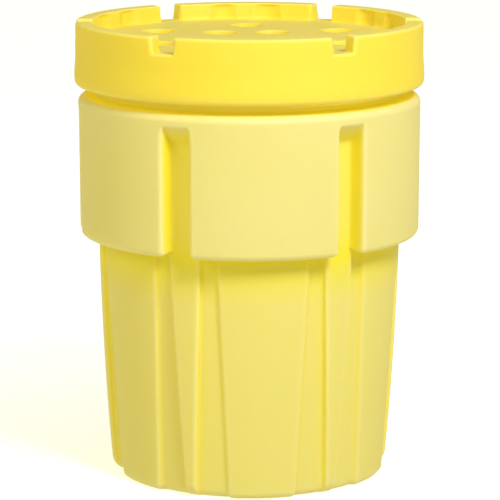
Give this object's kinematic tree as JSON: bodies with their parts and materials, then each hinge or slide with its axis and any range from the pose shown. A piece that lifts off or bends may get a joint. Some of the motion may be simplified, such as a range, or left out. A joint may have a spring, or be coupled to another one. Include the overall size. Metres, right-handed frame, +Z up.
{
  "type": "overpack salvage drum",
  "caption": "Wide-mouth overpack salvage drum: tapered ribbed tub, wide channelled collar and threaded neck, closed by a double-wall screw lid with a notched rim.",
  "frame": {"origin": "centre of the circle the drum stands on, on the drum's axis", "axes": "+Z up along the drum's axis; -Y is the front, midway between two of the body's ribs; +X is to the right seen from the front"},
  "size_m": [0.806, 0.806, 1.054],
  "materials": {
    "polyethylene": "moulded satin, slightly translucent",
    "gasket_foam": "closed-cell foam",
    "plug_plastic": "satin"
  },
  "bodies": {
    "drum": {"drum_body": "polyethylene"},
    "gasket": {"lid_gasket": "gasket_foam"},
    "lid": {"lid": "polyethylene", "lid_vent_plug": "plug_plastic"}
  },
  "joints": [
    {"name": "lid_rise", "type": "slide", "parent": "drum", "child": "gasket", "axis": [0, 0, 1], "range_m": [0, 0.044]},
    {"name": "lid_turn", "type": "hinge", "parent": "gasket", "child": "lid", "pos_m": [0, 0, 1], "axis": [0, 0, 1], "range_deg": [0, 720]}
  ],
  "couplings": [
    {"joint": "lid_rise", "follows": "lid_turn", "m_per_rad": 0.0035}
  ]
}
